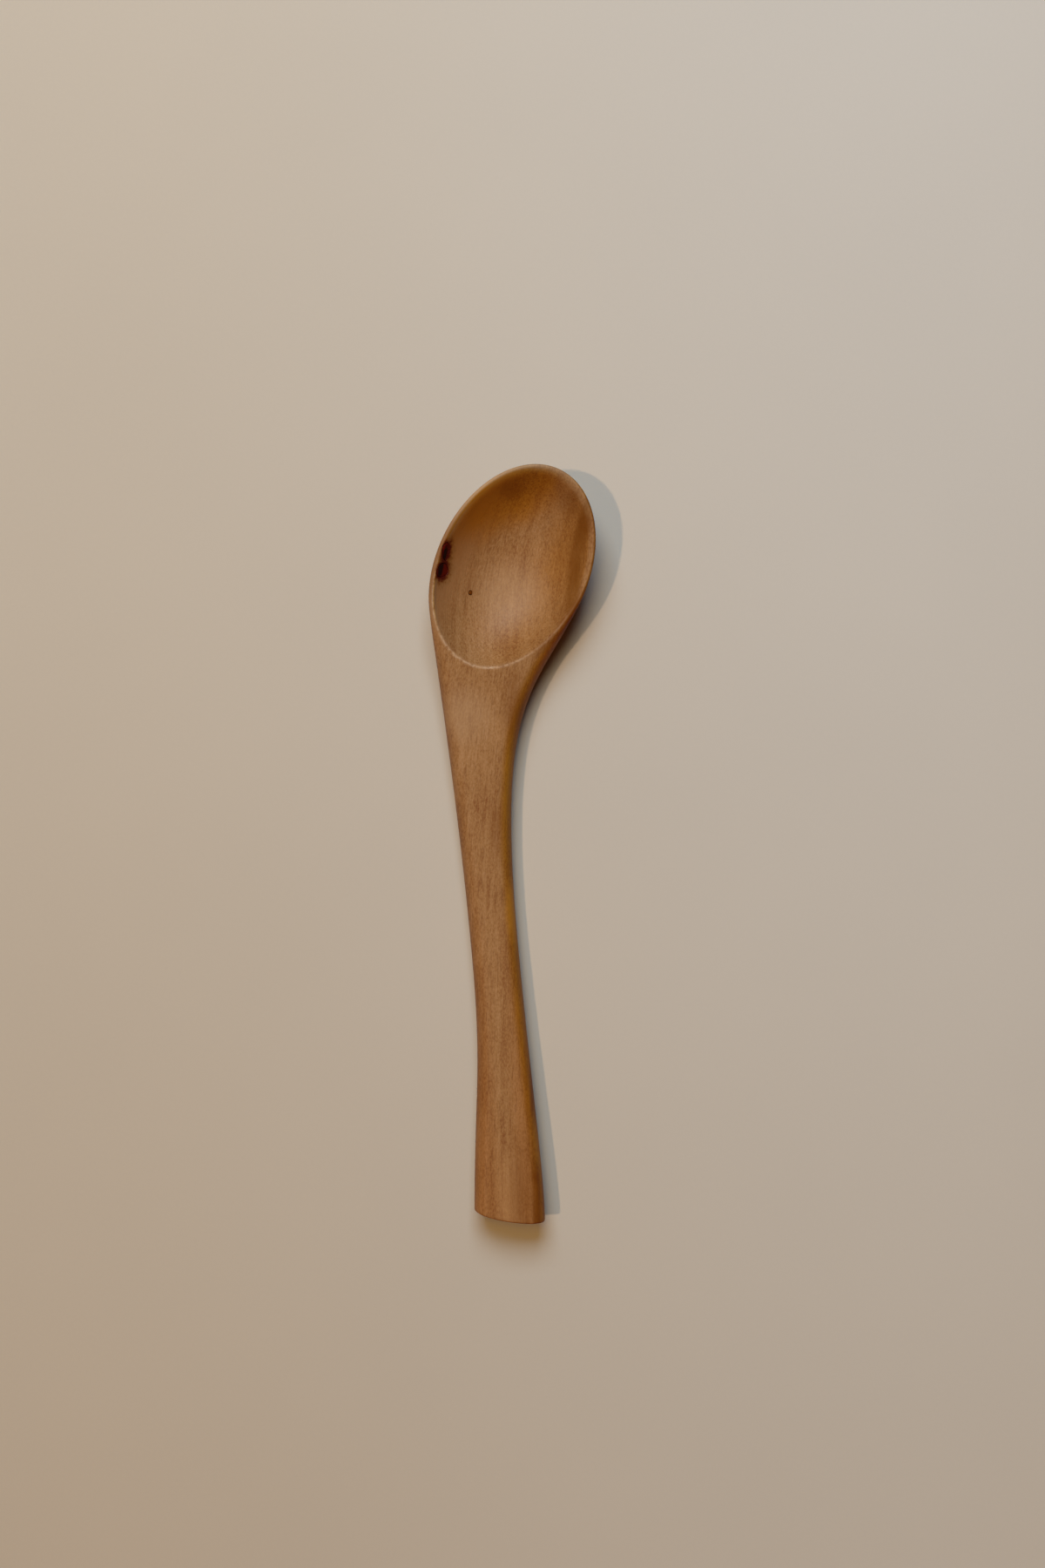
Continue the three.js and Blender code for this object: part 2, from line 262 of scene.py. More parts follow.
# Knots set in the hollow: turn round it from the tip, share of the way out to the rim
knots = {
    "sideKnotUpper": {
        "node": "side_knot_upper", "slot": "dead_knot", "turn": -98.0, "share": 0.953,
        "width": 1.9, "length": 4.4, "slant": 19.0, "wobble": (0.10, 0.07, 0.04), "phase": 0.4,
        "core": (0.1, -0.5, 1.3, 3.6),
    },
    "sideKnotLower": {
        "node": "side_knot_lower", "slot": "dead_knot", "turn": -109.5, "share": 0.925,
        "width": 3.3, "length": 3.6, "slant": -2.0, "wobble": (0.12, 0.08, 0.03), "phase": 2.1,
        "core": (0.7, 0.0, 1.7, 4.2),  # its black core: where it lies in the knot, its width and length
    },
    "pinKnot": {
        "node": "pin_knot", "slot": "pin_knot_wood", "turn": -132.3, "share": 0.539,
        "width": 0.8, "length": 0.95, "slant": 0.0, "wobble": (0.06, 0.05, 0.02), "phase": 1.2,
        "core": (0.0, 0.0, 0.6, 0.7),
    },
}
knotFit = {
    "depth": 0.8, "gap": 0.09, "recess": 0.03, "crown": 0.05, "taper": 0.8, "sides": 56,
    "pocketTop": 1.6, "pocketFoot": 0.5,  # where the pocket's wall starts and ends, in gaps
    "pocketReach": 0.7,  # how far above and below the skin the pocket reaches, as a share of its depth
    "domeRings": (0.2, 0.4, 0.6, 0.8, 0.92), "edgeRings": 4,
    "innerRings": (0.0, 0.3, 0.6, 0.85),  # rings of the skin inside the pocket, and round it, in gaps
    "outerRings": (0.0, 0.4, 0.8, 1.2, 1.7, 2.8, 5),
    "ringSteps": 22, "fewestSteps": 24,  # points on each ring, for each millimetre of the knot
}


def skinHeight(plan):  # height of the carved upper side, inside the rounded edge
    return carveHollow(plan, upperFace(plan[..., 1]))


def onSkin(points, normal):  # slides points along the normal until they lie on the hollow
    points = points.copy()
    for _ in range(12):  # rounds, each of which leaves a small part of the distance
        lift = skinHeight(points[:, :2]) - points[:, 2]
        points += lift[:, None] * normal[2] * normal
    return points


def knotFrame(knot):  # centre on the skin, and the directions across, round the bowl and outwards
    probe = 0.01  # a small step for the directions, as a share and in radians
    turn = math.radians(knot["turn"])

    def skinAt(share, angle):
        plan = bowlPoint(np.array(angle), share, c["rimWidth"])
        return np.append(plan, skinHeight(plan))

    centre = skinAt(knot["share"], turn)
    outward = skinAt(knot["share"] + probe, turn) - centre
    around = unit(skinAt(knot["share"], turn + probe) - centre)
    normal = unit(np.cross(outward, around))
    normal = normal if normal[2] > 0 else -normal
    slant = math.radians(knot["slant"])
    around = around * math.cos(slant) + np.cross(normal, around) * math.sin(slant)
    return centre, np.cross(normal, around), around, normal


def knotWobble(knot, angle):  # how far the knot's outline strays from an oval
    second, third, fifth = knot["wobble"]
    bend = second * np.sin(2 * angle + knot["phase"]) + third * np.sin(3 * angle + 2 * knot["phase"])
    return 1 + bend + fifth * np.sin(5 * angle - knot["phase"])


def knotRing(knot, grow, share, angles):  # a ring on the skin, grown outside the knot's own outline
    centre, across, around, normal = knotFrame(knot)
    reach = share * knotWobble(knot, angles)
    u = (knot["width"] / 2 * reach + grow) * np.cos(angles)
    v = (knot["length"] / 2 * reach + grow) * np.sin(angles)
    return onSkin(centre + u[:, None] * across + v[:, None] * around, normal)


def sinkPocket(points, knot):  # presses the knot's pocket into the skin
    centre, across, around, normal = knotFrame(knot)
    away = points - centre
    u, v = away @ across, away @ around
    reach = knotFit["depth"] * knotFit["pocketReach"]
    close = (np.hypot(u, v) < knot["length"]) & (np.abs(away @ normal) < reach)
    angle = np.arctan2(v / knot["length"], u / knot["width"])
    own = knotWobble(knot, angle) * np.hypot(
        knot["width"] / 2 * np.cos(angle), knot["length"] / 2 * np.sin(angle))
    outside = np.hypot(u, v) - own
    gap = knotFit["gap"]
    wall = smooth(-outside, -gap * knotFit["pocketTop"], -gap * knotFit["pocketFoot"])
    depth = np.where(close, knotFit["depth"] * wall, 0)
    return points - depth[:, None] * normal


# Skin of the upper side, triangulated between the rounded edge, the arris and the knots
def insideLoop(plan, loop):
    inside = np.zeros(len(plan), bool)
    after = np.roll(loop, -1, axis=0)
    for a, b in zip(loop, after):
        crosses = (a[1] > plan[:, 1]) != (b[1] > plan[:, 1])
        if crosses.any():
            x = a[0] + (plan[:, 1] - a[1]) * (b[0] - a[0]) / (b[1] - a[1] + tiny)
            inside ^= crosses & (plan[:, 0] < x)
    return inside


def awayFrom(plan, others, distance):  # keeps the points that lie at least that far from the others
    kept = np.ones(len(plan), bool)
    for first in range(0, len(plan), chunk):
        part = plan[first:first + chunk]
        nearest = ((part[:, None] - others[None]) ** 2).sum(2).min(axis=1)
        kept[first:first + chunk] = nearest > distance**2
    return plan[kept]


# Inward direction of each rib: square to the outline, and along the saw cut at the butt
ahead = np.gradient(edge, axis=0)
square = unit(np.column_stack([ahead[:, 1], -ahead[:, 0]]))
towardSpine = unit(spine - edge)
sawn = smooth(-edge[:, 1], -c["sawnReach"], -c["buttSkew"])[:, None]
inward = unit(mix(square, towardSpine, sawn))

turns = np.linspace(0, math.pi / 2, fineness["edgeRows"] + 1)
edgeAway = ribRound[:, None] * (1 - np.cos(turns))
edgePlan = edge[:, None] + inward[:, None] * edgeAway[..., None]
edgeOut = 1 - edgeAway / ribReach[:, None]
edgePlan[..., 1] -= ribBow[:, None] * (1 - edgeOut**2)
columns = [v[:, None] for v in (ribCrown, ribReach, ribDrop, ribRound)]
edgeTop = carveHollow(edgePlan, upperHeight(edgePlan, edgeAway, *columns))
edgeBand = np.dstack([edgePlan, edgeTop])

# The sawn end's upper line, between the two rounded edges, with as many points as its lower line
crossCount = fineness["underRows"] - fineness["edgeRows"]
crossOut = np.linspace(edgeOut[0, -1], 0, crossCount + 1)[1:]


def sawnLine(rib):
    line = mix(spine[rib], edge[rib], crossOut[:, None])
    line[:, 1] -= ribBow[rib] * (1 - crossOut**2)
    return line


sawnPlan = np.vstack([sawnLine(0), sawnLine(-1)[-2::-1]])
loop = np.vstack([edgePlan[:, -1], sawnPlan[::-1]])

# Points inside: rows along the arris, rings round the knots, and an even spread between them
arrisAngles = np.linspace(0, 2 * math.pi, fineness["arrisSteps"], endpoint=False)
arris = bowlPoint(arrisAngles, 1.0, c["rimWidth"])
arrisAhead = np.roll(arris, -1, axis=0) - np.roll(arris, 1, axis=0)
outOfBowl = unit(np.column_stack([-arrisAhead[:, 1], arrisAhead[:, 0]]))
outOfBowl *= np.sign(((arris - bowlCentre) * outOfBowl).sum(1))[:, None]
rows = np.vstack([arris + outOfBowl * s for s in fineness["arrisRows"]])
rings = []
for knot in knots.values():
    size = math.sqrt(knot["width"] * knot["length"])
    count = max(knotFit["fewestSteps"], int(size * knotFit["ringSteps"]))
    around = np.linspace(0, 2 * math.pi, count, endpoint=False)
    for share in knotFit["innerRings"]:
        steps = around if share else around[:1]
        rings.append(knotRing(knot, 0.0, share, steps)[:, :2])
    for gaps in knotFit["outerRings"]:
        rings.append(knotRing(knot, gaps * knotFit["gap"], 1.0, around)[:, :2])
rings = np.vstack(rings)
rings = rings[hollowShare(rings) < 0.995]  # those inside the arris

spacing = fineness["skinSpacing"]
gridX = np.arange(edge[:, 0].min(), edge[:, 0].max(), spacing)
gridY = np.arange(edge[:, 1].min() - 1, edge[:, 1].max(), spacing * fineness["rowSpacing"])
grid = np.array([(x + spacing / 2 * (j % 2), y) for j, y in enumerate(gridY) for x in gridX])
rows = rows[insideLoop(rows, loop)]
rows = awayFrom(rows, loop, fineness["nearLoop"])
rows = awayFrom(rows, rings, fineness["nearRing"])
grid = grid[insideLoop(grid, loop)]
grid = awayFrom(grid, np.vstack([loop, rows]), spacing * fineness["nearRows"])
grid = awayFrom(grid, rings, spacing * fineness["nearKnots"])
flat = [Vector(p) for p in np.vstack([loop, rows, rings, grid])]
cut = delaunay_2d_cdt(flat, [], [list(range(len(loop)))[::-1]], 1, samePlace)
skinPlan = np.array([tuple(v) for v in cut[0]])
skinFaces = [tuple(f) for f in cut[2]]
print("upper skin:", len(skinPlan), "points,", len(skinFaces), "triangles")

away, carried = outlineAt(skinPlan)
skinTop = carveHollow(skinPlan, upperHeight(skinPlan, away, *carried))
skin = np.column_stack([skinPlan, skinTop])
for index, sources in enumerate(cut[3]):  # the loop keeps the heights of the rounded edge
    if sources and sources[0] < ribCount:
        skin[index] = edgeBand[sources[0], -1]

# Underside, from the outline in to the spine
turns = np.linspace(0, math.pi / 2, fineness["underRows"] + 1)
out = np.cos(turns).clip(0) ** fineness["keelCrowding"]
out[-1] = 0
underPlan = mix(spine[:, None], edge[:, None], out[:, None])
underPlan[..., 1] -= ribBow[:, None] * (1 - out**2)
edgeHeight = edgeBand[:, 0, 2][:, None]
keel = underside(np.minimum(spine[:, 1], bellyY))[:, None]
belly = keel + (edgeHeight - keel) * (1 - (1 - out**2) ** ribLeanness[:, None])
under = np.dstack([underPlan, np.maximum(belly, 0)])
under[:, 0] = edgeBand[:, 0]

points, faces = [], []


def addPoints(more):
    start = sum(len(p) for p in points)
    points.append(np.asarray(more).reshape(-1, 3))
    return start


def addSheet(first, ribs, rows, flip=False):
    for i in range(ribs - 1):
        for j in range(rows - 1):
            a = first + i * rows + j
            quad = (a, a + rows, a + rows + 1, a + 1)
            faces.append(quad[::-1] if flip else quad)


bandStart = addPoints(edgeBand)
addSheet(bandStart, ribCount, edgeBand.shape[1], flip=True)
underStart = addPoints(under)
addSheet(underStart, ribCount, under.shape[1])
skinStart = addPoints(skin)
faces += [tuple(skinStart + i for i in f) for f in skinFaces]

# Sawn butt: its section, rounded over in a few steps, and closed between upper and lower points
sawnAway, sawnCarried = outlineAt(sawnPlan)
sawnTop = upperHeight(sawnPlan, sawnAway, *sawnCarried)
sawnEnd = np.column_stack([sawnPlan, sawnTop])
upperSection = np.vstack([edgeBand[0], sawnEnd, edgeBand[-1][::-1]])
section = np.vstack([upperSection, under[-1][1:], under[0][-2:0:-1]])
middleX = spine[0][0]
middleZ = (section[:, 2].max() + section[:, 2].min()) / 2
halfHigh = section[:, 2].max() - middleZ
sections = []
for step in range(fineness["buttRows"] + 1):
    angle = step / fineness["buttRows"] * math.pi / 2
    shrink = c["buttRound"] * (1 - math.cos(angle))
    drawn = section.copy()
    side = np.where(section[:, 0] < middleX, *c["buttCorners"])
    drawn[:, 0] = mix(section[:, 0], middleX, side * shrink / (c["buttWidth"] / 2))
    drawn[:, 2] = mix(section[:, 2], middleZ, shrink / halfHigh)
    drawn[:, 1] -= c["buttRound"] * math.sin(angle)
    sections.append(drawn)
buttStart = addPoints(np.vstack(sections))
around = len(section)
for i in range(fineness["buttRows"]):
    for j in range(around):
        a, b = buttStart + i * around + j, buttStart + i * around + (j + 1) % around
        faces.append((a, a + around, b + around, b))
endStart = buttStart + fineness["buttRows"] * around
across = len(upperSection)
for j in range(across - 1):
    a, b = endStart + j, endStart + j + 1
    d, e = endStart + (around - j) % around, endStart + around - j - 1
    faces.append(tuple(dict.fromkeys((a, d, e, b))))  # a triangle at either corner
vertices = np.vstack(points)
print("carving:", len(vertices), "points")


# From the carving's own coordinates to the frame: the box of the body's CAD node
low, high = (np.array(corner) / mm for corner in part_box("spoon_body"))
ownLow, ownHigh = vertices.min(axis=0), vertices.max(axis=0)
frameScale = (high - low) / (ownHigh - ownLow)
frameMove = low - ownLow * frameScale


def toFrame(points):
    return np.asarray(points) * frameScale + frameMove


def makePiece(name, points, faces):
    mesh = bpy.data.meshes.new(name)
    mesh.from_pydata((toFrame(points) * mm).tolist(), [], faces)
    bm = bmesh.new()
    bm.from_mesh(mesh)
    bmesh.ops.remove_doubles(bm, verts=bm.verts, dist=joinDistance)
    bmesh.ops.recalc_face_normals(bm, faces=bm.faces)
    bm.to_mesh(mesh)
    bm.free()
    mesh.shade_smooth()
    piece = bpy.data.objects.new(name, mesh)
    scene.collection.objects.link(piece)
    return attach(piece, "root")


def knotPiece(name, knot):  # a closed plug that sits in its pocket, its face a little under the skin
    centre, across, around, normal = knotFrame(knot)
    angles = np.linspace(0, 2 * math.pi, knotFit["sides"], endpoint=False)
    inside = -knotFit["gap"] / 2
    levels = []
    for share in knotFit["domeRings"]:
        rise = knotFit["crown"] * (1 - share**2) - knotFit["recess"]
        levels.append(knotRing(knot, inside * share, share, angles) + rise * normal)
    for turn in np.linspace(0, math.pi / 2, knotFit["edgeRings"]):
        drop = knotFit["recess"] + knotFit["recess"] * (1 - math.cos(turn))
        grow = inside - knotFit["recess"] * (1 - math.sin(turn))
        levels.append(knotRing(knot, grow, 1.0, angles) - drop * normal)
    for share in (0.5, 1.0):
        narrowed = knotRing(knot, inside, mix(1.0, knotFit["taper"], share), angles)
        levels.append(narrowed - knotFit["depth"] * share * normal)
    top = centre + (knotFit["crown"] - knotFit["recess"]) * normal
    bottom = centre - knotFit["depth"] * normal
    points = np.vstack([[top], *levels, [bottom]])
    sides, last = knotFit["sides"], len(levels) * knotFit["sides"] + 1
    faces = []
    for j in range(sides):
        k = (j + 1) % sides
        faces.append((0, 1 + j, 1 + k))
        faces.append((last, last - sides + k, last - sides + j))
        for i in range(len(levels) - 1):
            a, b = 1 + i * sides + j, 1 + i * sides + k
            faces.append((a, a + sides, b + sides, b))
    return makePiece(name, points, faces)


for knot in knots.values():
    vertices = sinkPocket(vertices, knot)
spoon = makePiece("spoonCarving", vertices, faces)
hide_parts("spoon_body")
knotPieces = {}
for name, knot in knots.items():
    knotPieces[name] = knotPiece(name, knot)
    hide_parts(knot["node"])
print("pieces made:", spoon.name, *knotPieces)


# Material tools

def srgb(text):  # a colour as written in a paint chart, for Blender's linear sockets
    parts = [int(text[i:i + 2], 16) / 255 for i in (1, 3, 5)]
    return tuple(p / 12.92 if p <= 0.04045 else ((p + 0.055) / 1.055) ** 2.4 for p in parts) + (1.0,)


def addNode(tree, kind, inputs=None, **settings):
    node = tree.nodes.new("ShaderNode" + kind)
    for name, value in settings.items():
        setattr(node, name, value)
    for name, value in (inputs or {}).items():
        if isinstance(value, bpy.types.NodeSocket):
            tree.links.new(value, node.inputs[name])
        else:
            node.inputs[name].default_value = value
    return node


def calc(tree, operation, *values, clamp=False):
    inputs = dict(enumerate(values))
    return addNode(tree, "Math", inputs, operation=operation, use_clamp=clamp).outputs[0]


def product(tree, value, *others):
    for other in others:
        value = calc(tree, "MULTIPLY", value, other)
    return value


def opposite(tree, value):  # 1 where the value is 0, and 0 where it is 1
    return calc(tree, "SUBTRACT", 1.0, value)


def noise(tree, vector, scale, detail=2.0, roughness=0.5, distortion=0.0):
    inputs = {
        "Vector": vector, "Scale": scale, "Detail": detail, "Roughness": roughness,
        "Distortion": distortion,
    }
    return addNode(tree, "TexNoise", inputs).outputs["Fac"]


def swing(tree, value, amount):  # a 0 to 1 value as a swing round zero
    return calc(tree, "MULTIPLY", calc(tree, "SUBTRACT", value, 0.5), amount)


def fade(tree, value, start, end):  # 1 before start, 0 after end
    inputs = {"Value": value, "From Min": start, "From Max": end, "To Min": 1.0, "To Max": 0.0}
    return addNode(tree, "MapRange", inputs, interpolation_type="SMOOTHSTEP").outputs[0]


def tint(tree, share, under, over, blend="MIX"):
    node = addNode(tree, "Mix", data_type="RGBA", blend_type=blend)  # its colours are sockets 6 and 7
    for socket, value in zip((node.inputs[0], node.inputs[6], node.inputs[7]), (share, under, over)):
        if isinstance(value, bpy.types.NodeSocket):
            tree.links.new(value, socket)
        else:
            socket.default_value = value
    return node.outputs[2]


def ramp(tree, share, stops):
    node = addNode(tree, "ValToRGB", {"Fac": share})
    elements = node.color_ramp.elements
    for place, colour in stops[2:]:
        elements.new(place)
    for element, (place, colour) in zip(elements, sorted(stops)):
        element.position, element.color = place, srgb(colour)
    return node.outputs["Color"]


def newMaterial(name, roughness, specular):
    material = bpy.data.materials.new(name)
    material.use_nodes = True
    shader = material.node_tree.nodes["Principled BSDF"]
    shader.inputs["Roughness"].default_value = roughness
    shader.inputs["Specular IOR Level"].default_value = specular
    return material, material.node_tree, shader


def placeInMm(tree):
    place = addNode(tree, "TexCoord").outputs["Object"]
    return addNode(tree, "VectorMath", {0: place, "Scale": 1 / mm}, operation="SCALE").outputs[0]


def stretched(tree, vector, x, y, z):
    return addNode(tree, "VectorMath", {0: vector, 1: (x, y, z)}, operation="MULTIPLY").outputs[0]


# Oiled wood: layers of growth, long fibres, short pores, stains round the knots, and painted light and
# shade
oiledWood = {
    "dark": "#703b16", "middle": "#8f6238", "light": "#a3764e", "pore": "#63340f", "stripe": "#6f400f",
    "roughness": 0.5, "roughnessSwing": 0.14, "specular": 0.12,
    "bump": 0.35, "bumpHeight": 0.06, "poreDepth": 0.8,
    "grainLean": 0.067, "grainCurve": 0.00039, "layerTilt": 0.3,  # how the grain runs along the billet
    "grainWander": 0.8,
    "stripeAt": 5.8, "stripeWidth": 1.7, "stripeCore": 0.25,  # where the dark streak lies in the billet
    "stripeStrength": 0.8, "stripeBreaks": 1.4, "stripeWhole": 0.9,
    "layerSwing": 0.5, "fibreSwing": 0.5, "driftSwing": 0.5, "fleckSwing": 0.85,
    "poreStrength": 0.26, "poreFade": (0.33, 0.40),
    "knotBlood": "#470902", "knotStain": "#702806", "knotHalo": "#73470f",
    "knotRings": (  # colour, how far out, where it starts to fade and its strength
        ("Halo", 2.3, 0.5, 0.7), ("Stain", 1.3, 0.55, 0.9), ("Blood", 0.75, 0.75, 1.0)),
    "knotFadeEnd": 1.15, "pinRing": 0.25, "pinRingFade": (0.7, 1.3), "pinRingStrength": 0.5,
    # Dark patches: painted shade on the hollow's tip and right walls, except the first, which darkens the
    # top of the grain streak
    "darkPatch": "#6b3808", "darkPatches": (  # places in the frame, reach and strength
        (17.6, 76.3, 13.0, 3.6, 0.6), (0.0, 84.0, 12.5, 4.5, 0.45), (10.5, 68.0, 9.0, 4.0, 0.25),
        (12.8, 55.0, 10.0, 5.5, 0.3), (13.8, 81.5, 13.0, 5.5, 0.4)),
    # Pale patches: a painted sheen on the floor of the hollow and on the neck
    "sheen": "#ad8763", "sheenPatches": ((-0.5, 60.0, 6.0, 12.0, 0.38), (-12.0, 31.0, 9.0, 10.0, 0.32)),
    # Darker patches on the rim: one on its left side, and painted shade at the right of the heel where it
    # turns down
    "rimDarkPatches": (
        (-17.9, 67.0, 13.5, 20.0, 0.6), (11.0, 50.0, 11.3, 11.0, 0.5), (15.6, 57.0, 12.2, 6.5, 0.45)),
    "darkStreaks": ((0.6, 33.0, 8.5, 4.5, 0.5), (-3.6, 4.0, 8.0, 2.8, 0.4), (1.8, -84.0, 9.5, 4.6, 0.45)),
    "paleStreaks": ((-0.5, -16.0, 6.0, 3.2, 0.7), (4.9, -73.0, 7.0, 3.0, 0.6)),
    "streakSqueeze": 0.25,  # streaks are patches four times as long as they are wide
    "ragged": 0.9, "raggedSwing": 0.9,  # how ragged all edges of tints and stains are
    "patchRaggedness": 2.5, "patchCore": 0.2,  # a patch is at full strength within this share of its reach
    # The rim colour is a painted sheen on the lip, the arris colour a painted highlight, and the left wall
    # colour painted light
    "rim": "#a59273", "arris": "#bd9876", "leftWallLight": "#a26f42",
    # Painted shade on the hollow's right wall and the handle's sides; the pale grip colour is a painted
    # sheen along the handle's middle and also the colour of its pale streaks
    "rightWallShade": (0.9, 0.77, 0.47, 1.0), "gripSideShade": (0.9, 0.76, 0.58, 1.0), "paleGrip": "#b5814f",
    # Painted shade: deeper colour on sides facing away from the lamps, towards the butt and to the right
    "bowlPaintedShade": (1.0, 0.74, 0.16, 1.0), "bowlPaintedShadeWay": (0.15, -0.98, 0.0), "bowlPaintedShadeFade": (0.32, 0.66),
    "gripPaintedShade": (1.0, 0.8, 0.15, 1.0), "gripPaintedShadeWay": (0.85, -0.3, 0.0), "gripPaintedShadeFade": (0.08, 0.66),
    "paintedShadeSwing": 0.35,
}
# How fine each pattern of the wood is, per millimetre: across the layers, along the fibres, upwards
fineGrain = {
    "wander": (0.05, 0.02, 0.05), "drift": (0.11, 0.06, 0.11), "layers": (0.55, 0.012, 0.03),
    "breaks": (0.3, 0.09, 0.3), "fibres": (2.0, 0.18, 1.6), "pores": (2.4, 0.2, 2.4),
    "flecks": (2.9, 1.4, 2.6),
}
# Where the tints of the bowl start and end, most of them painted light and shade. Across and along the bowl
# 0 is its middle and 1 the arris, and so it is from the middle outwards. Values for the handle are
# millimetres in the frame.
tintPlaces = {
    "raggedWall": 0.25, "leftWallLight": (-0.9, -0.35), "leftEdge": (1.1, 1.14),
    "rightWallShade": (0.03, 0.52), "rightEdge": (0.95, 0.99), "rightHeel": (-0.3, 0.35), "rightHeelCut": 0.55,
    "rimInside": (0.945, 1.005), "rimOutside": (1.06, 1.1),
    "rimRight": (-0.8, 1.0), "rimHeel": (-1.0, -0.6), "rimSheenStrength": 0.3,
    "arrisAt": 1.002, "arrisWidth": 0.026, "arrisTip": (-0.5, 0.05),
    "arrisRight": (0.3, 0.85), "arrisRightLeast": 0.3, "arrisBreaks": 2.4, "arrisStrength": 0.4,
    "hollowEdge": (0.97, 1.0), "stainEdge": (0.985, 1.045), "facesDown": (-0.1, 0.15),
    "gripMiddle": (0.062, 5.95),  # the handle's middle line: slope and distance to the left
    "gripCentre": (0.0, 4.5), "raggedCentre": 1.5, "gripSides": (-70.0, 10.0),
    "gripPale": (-88.0, -66.0), "gripPaleStrength": 0.4,
}


def pattern(tree, vector, kind, *settings):
    return noise(tree, stretched(tree, vector, *fineGrain[kind]), 1.0, *settings)


def grainPlace(tree, place):  # place in the billet: across the layers, along the fibres, and upwards
    look = oiledWood
    x, y, z = addNode(tree, "SeparateXYZ", {0: place}).outputs
    lean = calc(tree, "MULTIPLY_ADD", y, look["grainCurve"], look["grainLean"])
    straight = calc(tree, "SUBTRACT", x, calc(tree, "MULTIPLY", y, lean))
    across = calc(tree, "SUBTRACT", straight, calc(tree, "MULTIPLY", z, look["layerTilt"]))
    across = calc(tree, "ADD", across, swing(tree, pattern(tree, place, "wander"), look["grainWander"]))
    return addNode(tree, "CombineXYZ", {0: across, 1: y, 2: z}).outputs[0], across


def localPlace(tree, place, centre, turn, size):  # place in an oval, and 1 on the oval itself
    inputs = {"Vector": place, "Location": toFrame(centre), "Rotation": turn, "Scale": size}
    local = addNode(tree, "Mapping", inputs, vector_type="TEXTURE").outputs[0]
    return local, addNode(tree, "VectorMath", {0: local}, operation="LENGTH").outputs["Value"]


def ovalDistance(tree, place, knot, oval, reach):  # 1 on an oval of the knot, grown by reach
    centre, across, around, _ = knotFrame(knot)
    turn = Matrix((across, around, np.cross(across, around))).transposed().to_euler()
    u, v, width, length = oval
    size = (width / 2 + reach, length / 2 + reach, (width + reach) / 2 + reach)
    return localPlace(tree, place, centre + u * across + v * around, turn, size)[1]


def knotDistance(tree, place, knot, reach):  # 1 on an oval that stands reach outside the knot
    return ovalDistance(tree, place, knot, (0.0, 0.0, knot["width"], knot["length"]), reach)


def bowlPlace(tree, place):  # across and along the bowl, 1 on the arris of the hollow
    anyHeight = 1000.0
    size = (c["bowlWidth"] / 2 - c["rimWidth"], c["bowlLength"] / 2 - c["rimWidth"], anyHeight)
    local, share = localPlace(tree, place, (*bowlCentre, 0.0), (0, 0, -lean), size)
    across, along = addNode(tree, "SeparateXYZ", {0: local}).outputs[:2]
    return across, along, share


def patch(tree, place, spot, ragged, squeeze=1.0):  # a ragged patch, longer along y if squeezed
    x, y, z, reach, strength = spot
    squeezed = {0: stretched(tree, place, 1.0, squeeze, 1.0), 1: (x, y * squeeze, z)}
    away = addNode(tree, "VectorMath", squeezed, operation="DISTANCE").outputs["Value"]
    away = calc(tree, "MULTIPLY_ADD", ragged, oiledWood["patchRaggedness"], away)
    return product(tree, fade(tree, away, oiledWood["patchCore"] * reach, reach), strength)


def patches(tree, place, colour, ragged, kinds, squeeze=1.0):
    for kind, shade in kinds:
        for spot in oiledWood[kind]:
            inside = patch(tree, place, spot, ragged, squeeze)
            colour = tint(tree, inside, colour, srgb(oiledWood[shade]))
    return colour


